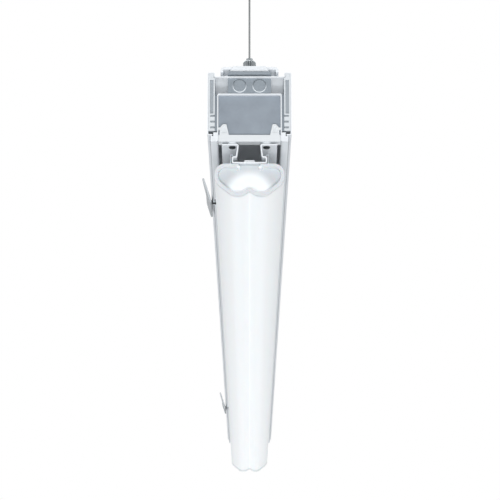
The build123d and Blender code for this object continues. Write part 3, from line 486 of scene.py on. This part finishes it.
class LIGHT_OT_trunk(Operator):
    """Finish the sheet metal and the conductor profiles, and close their ends"""

    bl_idname = "light.trunk"
    bl_label = "Trunk"

    # Conductor slots in each profile
    slots = 3

    def execute(self, context):
        s, c = context.scene.light_sizes, context.scene.light_colours
        # White stoving lacquer, sprayed and baked on steel: satin gloss over fine orange peel
        satin = dict(grain=1.6, shade=0.03, rough=(0.38, 0.48), bump=0.012, **{"Specular IOR Level": 0.25})
        lacquer = surface("stoving_lacquer_sprayed", c.lacquer, **satin)
        finish(["trunk", "led_carrier"], lacquer)
        # The same lacquer on a tray cut from coated coil: its hems end in bare grey edges, and the grey runs
        # on over the hems' outer faces as painted shade
        coil_with_hem_shade = surface("stoving_lacquer_on_coil_hem_shaded", c.lacquer, **satin)
        hem_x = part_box("gear_tray")[1].x
        # Bare cut edges and painted shade: grey over the hems' outer faces
        past(coil_with_hem_shade, "X", hem_x - s.cut_edge_and_shade, hem_x - s.cut_edge_and_shade / 2, c.cut_edge_and_shade)
        finish(["gear_tray"], coil_with_hem_shade)
        for end in ENDS:
            softened(f"hanger_{end}", f"hanger_plate_{end}", s.sheet_round, lacquer, "white_lacquer")
        # Grey PVC, extruded: faint lines along the light, paler where it is sawn
        pvc = surface(
            "pvc_extruded", c.profile,
            grain=0.7, shade=0.1, rough=(0.42, 0.58), bump=0.02, stretch=(1, 300, 1),
        )
        end_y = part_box("conductor_profile_left")[1].y
        past(pvc, "Y", end_y - s.saw_whitening, end_y - s.saw_whitening / 2, c.profile_end)
        finish(["conductor_profile_left", "conductor_profile_right"], pvc)
        # Grey PVC plugs, moulded, and soft PVC strips, extruded: even and matt. The strips' grey is painted
        # shade for the gaps they fill
        plug = surface("pvc_moulded", c.plug, grain=0.8, shade=0.08, rough=(0.45, 0.6), bump=0.01)
        gap_shade_pvc = surface("pvc_in_gap_shade", c.strip, grain=1.0, shade=0.12, rough=(0.6, 0.75), bump=0.02)
        for end, side in zip(ENDS, (-1, 1)):
            plugs, strips = self.end_closures(s, side)
            solid(f"slot_plugs_{end}", bars(*plugs, s.plug_round), plug)
            solid(f"gap_shade_strips_{end}", bars(*strips, s.plug_round), gap_shade_pvc)
        # Drawn copper: bare and slightly dulled
        copper = surface(
            "copper_drawn", c.copper,
            grain=0.9, shade=0.15, rough=(0.25, 0.4), stretch=(1, 80, 1), Metallic=1.0,
        )
        finish(["conductors_left", "conductors_right"], copper)
        return {"FINISHED"}

    def end_closures(self, s, side):
        """Low and high corners of the bars at one end.

        Plugs fill the conductor slots in front of the copper, and grey strips, a painted shade, the gaps
        beside the gear tray.
        """
        plugs, strips = [], []
        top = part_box("tray_end_near")[1].z
        for hand, way in (("left", -1), ("right", 1)):
            low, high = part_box(f"conductor_profile_{hand}")
            first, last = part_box(f"conductors_{hand}")
            inner = min(way * low.x, way * high.x)
            slot_end = max(way * first.x, way * last.x)
            face = high.y - s.plug_setback
            copper_height = s.slot_height - 2 * s.slot_play
            for z in np.linspace(first.z, last.z - copper_height, self.slots) - s.slot_play:
                plugs.append([(inner, slot_end), (last.y + s.plug_setback, face), (z, z + s.slot_height)])
            strips.append([(inner - s.gap_width, inner), (face - s.gap_strip, face), (low.z, top)])
            for bar in (*plugs[-self.slots:], strips[-1]):
                x, y, z = bar
                bar[0] = sorted((way * (x[0] + s.plug_play), way * (x[1] - s.plug_play)))
                bar[1] = sorted((side * y[0], side * y[1]))
                bar[2] = (z[0] + s.plug_play, z[1] - s.plug_play)
        return [np.array(group).transpose(2, 0, 1) for group in (plugs, strips)]


class LIGHT_OT_batten(Operator):
    """Finish the bridges, boards, driver and leads of the batten"""

    bl_idname = "light.batten"
    bl_label = "Batten"

    def execute(self, context):
        s, c = context.scene.light_sizes, context.scene.light_colours
        # White ABS, moulded in a spark-eroded tool: even matt grain
        abs_white = surface("abs_moulded", c.moulding, grain=0.6, shade=0.04, rough=(0.45, 0.6), bump=0.015)
        finish(["tap_off", "board_plug"], abs_white)
        bridges = ["bridge_near", "bridge_mid_near", "bridge_mid_far", "bridge_far"]
        for bridge in bridges:
            softened(f"{bridge}_bar", bridge, s.casting_round, abs_white, "white_moulding")
        # Galvanised and skin-passed sheet: flat bluish grey, with soft clouds where the spangle was
        sheet = surface("steel_skin_passed", c.panel, grain=11.0, shade=0.22, rough=(0.42, 0.58), bump=0.01)
        finish(pairs("tray_end"), sheet)
        # Off-white polycarbonate casing, moulded: satin
        shell = surface(
            "polycarbonate_moulded", c.casing, grain=0.8, shade=0.05, rough=(0.4, 0.55), bump=0.015
        )
        finish(["driver"], shell)
        # White solder mask on the boards, screen printed: smooth and slightly glossy
        mask = surface("solder_mask_printed", c.mask, grain=2.0, shade=0.03, rough=(0.3, 0.45), bump=0.004)
        finish(["led_boards"], mask)
        # Phosphor resin, dispensed into the LED packages: yellow and glossy
        resin = surface("phosphor_resin_cast", c.phosphor, grain=1.0, shade=0.1, rough=(0.2, 0.35), bump=0.01)
        finish(["leds"], resin)
        # Silicone jackets, extruded: dark and matt
        jacket = surface("silicone_extruded", c.jacket, grain=1.2, shade=0.1, rough=(0.5, 0.7))
        finish(["supply_leads", "board_leads"], jacket)
        # Stamped brass contacts: bright, with a dull yellow cast
        brass = surface("brass_stamped", c.brass, grain=0.5, shade=0.12, rough=(0.25, 0.4), Metallic=1.0)
        finish(["tap_contacts"], brass)
        # Zinc plate on steel screws: slightly cloudy
        zinc = surface(
            "zinc_plated_screw", c.plating, grain=0.8, shade=0.12, rough=(0.25, 0.45), Metallic=1.0
        )
        finish(["driver_screws", *pairs("clamp_screws", "lever_pin")], zinc)
        # Black oxide on steel screws: dark, with a dull sheen
        oxide = surface("black_oxide_steel", c.oxide, grain=0.5, shade=0.2, rough=(0.35, 0.5), Metallic=0.6)
        low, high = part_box("carrier_screws")
        one = screw(s, high.z - low.z - s.head_height)
        rows = np.array([sum(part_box(bridge), start=low * 0).y / 2 for bridge in bridges])
        x, y = (v.reshape(-1) for v in np.meshgrid((low.x + s.screw_head, high.x - s.screw_head), rows))
        places = np.stack([x, y, np.full(len(x), low.z)], -1)
        heads = solid("carrier_screw_set", one + places[:, None, None], oxide, crease=40)
        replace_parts(heads, "carrier_screws")
        return {"FINISHED"}


class LIGHT_OT_lens(Operator):
    """Make the opal lens and finish its end plates"""

    bl_idname = "light.lens"
    bl_label = "Lens"

    # Levels of light, and the shares of its reach or of the bead's radius between which it fades
    lens_glow, lens_fade = 0.2, (0.4, 1.6)
    plate_glow, plate_fade = 0.36, (0.6, 1.0)
    bead_glow, bead_fade = 0.2, (0.7, 1.15)
    notch_glow = 0.05

    # Rings along the lens
    lens_rings = 41

    def execute(self, context):
        s, c = context.scene.light_sizes, context.scene.light_colours
        low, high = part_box("lens")
        top = high.z - s.arm_rise
        # Opal acrylic, extruded: milky, lit across its width, dimmer at its edges, and greyer at its ends as
        # painted shade.
        # The beads guide light to their ends, and the snap arms above the lens are painted grey, a painted
        # shade
        row, reach = top - s.glow_centre, (s.glow_reach, s.glow_depth)
        opal = self.opal_acrylic("opal_acrylic_extruded", c.opal, row, reach, self.lens_fade, self.lens_glow)
        self.guide_light(s, opal.node_tree, top, high.y)
        # Painted shade: the lens turns greyer over its last millimetres at each end
        past(opal, "Y", high.y - s.end_shade_depth, high.y, c.lens_end_shade)
        # Painted shade: all above the lens's top, the snap arms, turns grey
        past(opal, "Z", -top, -top - MM, c.arm)
        rings = along(lens_section(s, low, high), np.linspace(low.y, high.y, self.lens_rings))
        lens = solid("opal_lens", rings, opal)
        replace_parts(lens, "lens")
        # Opal acrylic, moulded, on a base darker than the lens's as painted shade for their recess: the end
        # plates glow round the LED row
        row, reach = top - s.plate_centre, (s.plate_glow, s.plate_glow)
        acrylic = ("opal_acrylic_moulded_shaded", c.plate, row, reach, self.plate_fade, self.plate_glow)
        finish(pairs("lens_end"), self.opal_acrylic(*acrylic))
        return {"FINISHED"}

    def guide_light(self, s, tree, top, end):
        """Add a line in the notch and the ends of the beads to the lens's glow.

        The glow and the line fade towards both ends, past the last LED at the far end, and above the lens.
        """
        strength = tree.nodes["Principled BSDF"].inputs["Emission Strength"]
        place = put(tree, "ShaderNodeTexCoord").outputs["Object"]
        off_row = put(tree, "ShaderNodeVectorMath", {"operation": "ABSOLUTE"}, {0: place}).outputs[0]
        across, from_middle, _ = put(tree, "ShaderNodeSeparateXYZ", {}, {0: off_row}).outputs
        _, towards_far, height = put(tree, "ShaderNodeSeparateXYZ", {}, {0: place}).outputs
        line = ramp(tree, across, (s.notch_line / 3, s.notch_line), (self.notch_glow, 0), SMOOTH)
        glow = combine(tree, "ADD", strength.links[0].from_socket, line)
        for value, first, last in (
            (from_middle, end - s.glow_end, end),
            (height, top - s.lens_wall, top),
            (towards_far, end - s.far_dim, end - s.far_dim / 2),
        ):
            glow = combine(tree, "MULTIPLY", glow, ramp(tree, value, (first, last), (1, 0), SMOOTH))
        bead = {"Scale": (1, 0, 1), "Location": (-s.slit_half, 0, top - s.lens_wall)}
        away = put(tree, "ShaderNodeMapping", bead, {"Vector": off_row}).outputs[0]
        away = put(tree, "ShaderNodeVectorMath", {"operation": "LENGTH"}, {0: away}).outputs["Value"]
        edge = [share * s.bead_radius for share in self.bead_fade]
        spark = ramp(tree, away, edge, (self.bead_glow, 0), SMOOTH)
        tree.links.new(combine(tree, "ADD", glow, spark), strength)

    @staticmethod
    def opal_acrylic(name, base, row, reach, fade, glow):
        """Opal acrylic that glows round the LED row, which lies at the height row.

        The glow falls off between the two distances of fade from the row, counted in reaches across and down.
        """
        milky = {"Specular IOR Level": 0.2, "Subsurface Weight": 0.15, "Subsurface Scale": 4 * MM}
        light = {"Emission Color": (*linear("#FBFCFC"), 1)}
        material = surface(
            name, base, grain=40.0, shade=0.015, rough=(0.3, 0.4), stretch=(1, 8, 1), **milky, **light
        )
        tree = material.node_tree
        place = put(tree, "ShaderNodeTexCoord").outputs["Object"]
        across, down = reach
        spread = {"Scale": (1 / across, 0, 1 / down), "Location": (0, 0, -row / down)}
        away = put(tree, "ShaderNodeMapping", spread, {"Vector": place}).outputs[0]
        away = put(tree, "ShaderNodeVectorMath", {"operation": "LENGTH"}, {0: away}).outputs["Value"]
        level = ramp(tree, away, fade, (glow, 0), SMOOTH)
        tree.links.new(level, tree.nodes["Principled BSDF"].inputs["Emission Strength"])
        return material


class LIGHT_OT_levers(Operator):
    """Finish the locking levers with their hinges and the fixed hooks"""

    bl_idname = "light.levers"
    bl_label = "Levers"

    # Lean of a lever's flap from upright
    flap_lean = radians(18)

    def execute(self, context):
        s, c = context.scene.light_sizes, context.scene.light_colours
        # Polyamide, moulded: a pale grey flap, nearly matt; its barrel and hook are painted near black, a
        # painted shade for the slot they sit in
        matt = dict(grain=0.7, shade=0.05, rough=(0.5, 0.62), bump=0.012, **{"Specular IOR Level": 0.2})
        nylon = surface("polyamide_moulded", c.lever, **matt)
        # Painted shade: near black on the barrel and hook, towards the middle
        past(nylon, "X", s.hook_shade_from, s.hook_shade_from - MM, c.hook)
        for end in ENDS:
            look = (nylon, "lever_plastic", f"{end}_lever")
            lever = softened(f"lock_lever_{end}", f"lever_{end}", s.lever_round, *look)
            self.slim(lever.data, s.lever_relief)
        # Galvanised steel sheet: cloudy zinc
        zinc = surface("steel_galvanised", c.zinc, grain=6.0, shade=0.16, rough=(0.3, 0.5), Metallic=0.9)
        finish([*pairs("lever_bracket"), "fixed_hooks"], zinc)
        return {"FINISHED"}

    def slim(self, mesh, relief):
        """Set the outer face of a flap back: points furthest along the flap's normal move in by relief."""
        points = np.empty(3 * len(mesh.vertices))
        mesh.vertices.foreach_get("co", points)
        points = points.reshape(-1, 3)
        outwards = np.array([-np.cos(self.flap_lean), 0, -np.sin(self.flap_lean)])
        height = points @ outwards
        points[height > height.max() - ON_FACE] -= relief * outwards
        mesh.vertices.foreach_set("co", points.reshape(-1))
        mesh.update()


class LIGHT_OT_suspension(Operator):
    """Make the wire grippers, saddles, clamp boxes and ceiling caps"""

    bl_idname = "light.suspension"
    bl_label = "Suspension"

    # Share of the band between a rim's painted shade and painted highlight that lies above its middle, and
    # points round the turned pieces
    shade_band_above = 0.8
    round_rim, round_gripper, round_cap = 72, 160, 96

    def execute(self, context):
        s, c = context.scene.light_sizes, context.scene.light_colours
        # Zinc die casting under thin grey paint: granular skin
        casting = surface("zinc_die_cast", c.casting, grain=1.2, shade=0.3, rough=(0.26, 0.42), bump=0.05)
        # Dark and bright nickel on turned brass: fine rings round the axis
        turning = dict(grain=0.5, bump=0.006, stretch=(6, 6, 1), Metallic=1.0)
        dark = surface("dark_nickel_turned", c.gripper, shade=0.2, rough=(0.25, 0.4), **turning)
        nickel = surface("nickel_on_turned_brass", c.nickel, shade=0.15, rough=(0.22, 0.36), **turning)
        finish(pairs("ferrule", "ceiling_base"), nickel)
        # The same casting, with painted shade on the upper halves of the rims and a painted highlight on the
        # lower ones
        rim_shade_and_highlight = surface("zinc_die_cast_painted_shade_and_highlight", c.rim_painted_shade, grain=1.2, shade=0.2, rough=(0.3, 0.42), bump=0.03)
        low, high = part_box("clamp_box_near")
        # Painted shade above each rim's middle, painted highlight below it
        shade_band_from = -(low.z + high.z) / 2 - self.shade_band_above * s.rim_shade_band
        past(rim_shade_and_highlight, "Z", shade_band_from, shade_band_from + s.rim_shade_band, c.rim)
        for end, side in zip(ENDS, (-1, 1)):
            rims = self.knockout_rims(s, side, *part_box(f"clamp_box_{end}"))
            solid(f"knockout_rims_{end}", rims, rim_shade_and_highlight, closed=True)
            softened(f"saddle_casting_{end}", f"saddle_{end}", s.casting_round, casting, "die_casting")
            softened(f"clamp_casting_{end}", f"clamp_box_{end}", s.casting_round, casting, "die_casting")
            barrel = self.gripper_body(s, *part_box(f"gripper_{end}"))
            body = turned(*barrel, self.round_gripper, s.flutes, s.flute_depth)
            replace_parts(solid(f"gripper_body_{end}", body, dark), f"gripper_{end}")
            collar = turned(*self.collar(s, *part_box(f"release_collar_{end}")))
            ring = solid(f"collar_{end}", collar, dark, f"{end}_collar", closed=True)
            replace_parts(ring, f"release_collar_{end}")
            cap = turned(*self.ceiling_cap(s, *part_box(f"ceiling_cap_{end}")), self.round_cap)
            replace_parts(solid(f"cap_{end}", cap, nickel, closed=True), f"ceiling_cap_{end}")
        return {"FINISHED"}

    def knockout_rims(self, s, side, low, high):
        """Two bevelled rings round the knock-outs: cones from their front faces back into the box's face."""
        front = high.y if side > 0 else low.y
        back = -1.2 * s.rim_proud
        profile = [(s.rim_in, 0, 0), (s.rim_out, -s.rim_proud, 0), (s.rim_out, back, 0), (s.rim_in, back, 0)]
        ring = turned(profile[::side], (0, 0, 0), self.round_rim)[..., [0, 2, 1]] * (1, side, 1)
        middle = (low.z + high.z) / 2
        places = np.array([(x, front, middle) for x in (-s.knockout_offset, s.knockout_offset)])
        return ring + places[:, None, None]

    @staticmethod
    def gripper_body(s, low, high):
        """Fluted barrel with a chamfered top, bored for the collar, as radius, height and flute share."""
        r, h = (high.x - low.x) / 2, high.z - low.z
        middle = (low + high) / 2
        return [
            (0.94 * r, 0, 0), (r, 0.04 * h, 1), (r, 0.8 * h, 1),
            (0.97 * r, 0.86 * h, 0.8), (0.86 * r, 0.95 * h, 0.2), (0.78 * r, h, 0),
            (s.guide_radius, h, 0), (s.guide_radius, s.guide_floor, 0),
        ], (middle.x, middle.y, low.z)

    @staticmethod
    def collar(s, low, high):
        """Release collar: a sleeve with a rounded rim, as radius, height and flute share."""
        r, h = (high.x - low.x) / 2, high.z - low.z
        middle = (low + high) / 2
        return [
            (s.collar_bore, 0, 0), (r, 0, 0), (r, 0.9 * h, 0),
            (0.97 * r, 0.95 * h, 0), (0.88 * r, 0.985 * h, 0), (0.76 * r, h, 0),
            (1.2 * s.collar_bore, h, 0), (s.collar_bore, 0.97 * h, 0),
        ], (middle.x, middle.y, low.z)

    @staticmethod
    def ceiling_cap(s, low, high):
        """Ceiling cap: a straight side that bends into a cone down to the nose, hollow for the base.

        The bend is a quadratic curve in t, p (1 - t)^2 + 2 q t (1 - t) + r t^2, from the side to the cone.
        """
        r, h = (high.x - low.x) / 2, high.z - low.z
        middle = (low + high) / 2
        side, foot = np.array([(r, h - 0.6 * s.cap_straight), (r, h - s.cap_straight)])
        nose = np.array([s.nose_radius, 0.0])
        cone = foot + 0.35 * (nose - foot)
        t = np.linspace(0, 1, 9)[:, None]
        bend = side * (1 - t) ** 2 + 2 * foot * t * (1 - t) + cone * t ** 2
        rim, tip = [(r - s.cap_wall, h), (r, h)], [nose * (1.05, 1) + (0, 0.4 * MM), nose * 0.9]
        ceiling, floor, well = h - 1.1 * s.cap_straight, 0.15 * h, 0.8 * s.nose_radius
        inside = [(s.nose_bore, 0), (s.nose_bore, floor), (well, floor), (well, ceiling)]
        inside.append((r - s.cap_wall, ceiling))
        profile = np.vstack([rim, bend, tip, inside])[::-1]
        return np.hstack([profile, np.zeros((len(profile), 1))]), (middle.x, middle.y, low.z)


class LIGHT_OT_wires(Operator):
    """Lay the suspension wires"""

    bl_idname = "light.wires"
    bl_label = "Wires"

    def execute(self, context):
        s, c = context.scene.light_sizes, context.scene.light_colours
        # Drawn steel wire, stranded and galvanised: dull metal between bright strands
        steel = surface("steel_wire_drawn", c.wire, grain=0.4, shade=0.2, rough=(0.3, 0.45), Metallic=1.0)
        for end in ENDS:
            low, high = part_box(f"wire_{end}")
            middle = (low + high) / 2
            radius = (high.x - low.x) / 2
            curve = bpy.data.curves.new(f"wire_route_{end}", "CURVE")
            curve.dimensions = "3D"
            spline = curve.splines.new("NURBS")
            heights = (low.z, middle.z, high.z)
            spline.points.add(len(heights) - 1)
            for point, z in zip(spline.points, heights):
                point.co = (middle.x, middle.y, z, 1)
            spline.order_u = 3
            spline.use_endpoint_u = True
            route = bpy.data.objects.new(f"wire_route_{end}", curve)
            line = np.array([v.co for v in bpy.data.meshes.new_from_object(route).vertices])
            bpy.data.objects.remove(route)
            rope = solid(f"wire_rope_{end}", self.strands(line, radius, s.strand_lay), steel)
            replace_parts(rope, f"wire_{end}")
        return {"FINISHED"}

    @staticmethod
    def strands(line, radius, lay, around=48, steps=90):
        """Six wires round a core, up a line: the outline of circles of a third, turned with height.

        At an angle a off a wire's middle, the outline is radius / 3 (2 cos a + sqrt(1 - 4 sin^2 a)) away.
        """
        angle = np.linspace(0, 2 * pi, around, endpoint=False)
        z = line[0, 2] + np.linspace(0, 1, steps) * (line[-1, 2] - line[0, 2])
        twist = 2 * pi * (z - z[0])[:, None] / lay
        off = (angle[None] - twist + pi / 6) % (pi / 3) - pi / 6
        reach = radius / 3 * (2 * np.cos(off) + np.sqrt(np.clip(1 - 4 * np.sin(off) ** 2, 0, 1)))
        x, y = line[0, 0] + reach * np.cos(angle), line[0, 1] + reach * np.sin(angle)
        return np.stack([x, y, np.repeat(z[:, None], around, axis=1)], -1)


class LIGHT_OT_stage(Operator):
    """Set the floor, the soft light and the camera"""

    bl_idname = "light.stage"
    bl_label = "Stage"

    # Soft lamps: turn about X and Y in degrees, level on a white surface that faces them, spread in degrees
    lamps = {
        "front_light": ((123, 0), 0.44, 16),
        "fill_light": ((108, 0), 0.34, 12),
        "left_light": ((0, -36), 0.4, 40),
        "right_light": ((0, 36), 0.4, 40),
        "back_light": ((-40, 0), 0.25, 50),
    }

    # Strips of light in the trunk's ends: length, distance of their middle from the end, share of the free
    # width, height over the tray and power
    strip_length, strip_middle, strip_share = 0.05, 0.03, 0.8
    strip_height, strip_power = 2 * MM, 0.0011

    # Level of the world's light on the object, and of the background that shows
    world_levels = (0.25, 1.0)

    # Floor: half its width, and its depth below the light
    floor_reach, floor_drop = 20, 0.62

    # Camera: lens in millimetres, tilt upwards, turn by 0.55 of the focal length's 1996.31 pixels, distance
    # before the near end, depth below the trunk and furthest sight
    camera_lens, camera_tilt, camera_turn = 143.73, radians(14.251), -0.55 / 1996.31
    camera_back, camera_drop, camera_sight = 1.44514, 0.4570, 50

    def execute(self, context):
        scene = context.scene
        scene.view_settings.view_transform = "Standard"
        self.world(scene)
        self.floor(cad_box[0].z - self.floor_drop)
        for name, setting in self.lamps.items():
            self.lamp(name, *setting)
        self.web_lights()
        camera = bpy.data.cameras.new("camera")
        camera.lens = self.camera_lens
        camera.clip_end = self.camera_sight
        eye = bpy.data.objects.new("camera", camera)
        eye.location = (0, cad_box[0].y - self.camera_back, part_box("trunk")[0].z - self.camera_drop)
        eye.rotation_euler = (pi / 2 + self.camera_tilt, 0, self.camera_turn)
        scene.collection.objects.link(eye)
        scene.camera = eye
        return {"FINISHED"}

    @staticmethod
    def seen_directly(tree):
        """One for camera, glossy and transmission rays, which show the white background."""
        path = put(tree, "ShaderNodeLightPath").outputs
        seen = combine(tree, "MAXIMUM", path["Is Camera Ray"], path["Is Glossy Ray"])
        return combine(tree, "MAXIMUM", seen, path["Is Transmission Ray"])

    def world(self, scene):
        """White background, and a plain even light on the object."""
        world = bpy.data.worlds.new("studio")
        world.use_nodes = True
        tree = world.node_tree
        back = tree.nodes["Background"]
        back.inputs["Color"].default_value = (1, 1, 1, 1)
        level = ramp(tree, self.seen_directly(tree), (0, 1), self.world_levels)
        tree.links.new(level, back.inputs["Strength"])
        scene.world = world

    def floor(self, height):
        """Pale floor that shows from above only, and throws less light back than it shows."""
        square = np.array([(-1, -1, 0), (1, -1, 0), (1, 1, 0), (-1, 1, 0)])
        mesh = bpy.data.meshes.new("floor")
        mesh.from_pydata(square * self.floor_reach + (0, 0, height), [], [(0, 1, 2, 3)])
        material = bpy.data.materials.new("pale_floor_paint")
        material.use_nodes = True
        tree = material.node_tree
        paint = tree.nodes["Principled BSDF"]
        shades = {MIX_A: (*linear("#B4B6B8"), 1), MIX_B: (*linear("#F2F3F4"), 1)}
        tree.links.new(blend(tree, self.seen_directly(tree), shades), paint.inputs["Base Color"])
        paint.inputs["Roughness"].default_value = 0.9
        clear = put(tree, "ShaderNodeBsdfTransparent").outputs[0]
        side = put(tree, "ShaderNodeNewGeometry").outputs["Backfacing"]
        mixed = put(tree, "ShaderNodeMixShader", {}, {0: side, 1: paint.outputs[0], 2: clear}).outputs[0]
        tree.links.new(mixed, tree.nodes["Material Output"].inputs["Surface"])
        mesh.materials.append(material)
        floor = bpy.data.objects.new("floor", mesh)
        floor.visible_shadow = False
        bpy.context.scene.collection.objects.link(floor)

    @staticmethod
    def lamp(name, turn, level, spread):
        """Soft light from far away."""
        light = bpy.data.lights.new(name, "SUN")
        light.angle = radians(spread)
        light.energy = pi * level
        lamp = bpy.data.objects.new(name, light)
        lamp.rotation_euler = (radians(turn[0]), radians(turn[1]), 0)
        bpy.context.scene.collection.objects.link(lamp)

    def web_lights(self):
        """Strips of light in the open trunk ends, from the tray up onto the web beside the clamp boxes."""
        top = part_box("gear_tray")[1].z
        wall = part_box("conductor_profile_right")[0].x
        middle = cad_box[1].y - self.strip_middle
        for end, side in zip(ENDS, (-1, 1)):
            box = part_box(f"clamp_box_{end}")[1].x
            for hand in (-1, 1):
                light = bpy.data.lights.new(f"web_light_{end}", "AREA")
                light.shape = "RECTANGLE"
                light.size, light.size_y = self.strip_share * (wall - box), self.strip_length
                light.energy = self.strip_power
                lamp = bpy.data.objects.new(light.name, light)
                lamp.location = (hand * (wall + box) / 2, side * middle, top + self.strip_height)
                lamp.rotation_euler = (pi, 0, 0)
                bpy.context.scene.collection.objects.link(lamp)


OPERATORS = (
    LIGHT_OT_trunk,
    LIGHT_OT_batten,
    LIGHT_OT_lens,
    LIGHT_OT_levers,
    LIGHT_OT_suspension,
    LIGHT_OT_wires,
    LIGHT_OT_stage,
)


class LIGHT_PT_build(Panel):
    """Panel with one button for each step"""

    bl_label = "Linear LED light"
    bl_space_type = "VIEW_3D"
    bl_region_type = "UI"
    bl_category = "Light"

    def draw(self, context):
        for operator in OPERATORS:
            self.layout.operator(operator.bl_idname)


CLASSES = (LightSizes, LightColours, *OPERATORS, LIGHT_PT_build)


def register():
    for cls in CLASSES:
        bpy.utils.register_class(cls)
    bpy.types.Scene.light_sizes = PointerProperty(type=LightSizes)
    bpy.types.Scene.light_colours = PointerProperty(type=LightColours)


def unregister():
    del bpy.types.Scene.light_colours
    del bpy.types.Scene.light_sizes
    for cls in reversed(CLASSES):
        bpy.utils.unregister_class(cls)


def main():
    register()
    bpy.ops.light.trunk()
    bpy.ops.light.batten()
    bpy.ops.light.lens()
    bpy.ops.light.levers()
    bpy.ops.light.suspension()
    bpy.ops.light.wires()
    bpy.ops.light.stage()


if __name__ == "__main__":
    main()
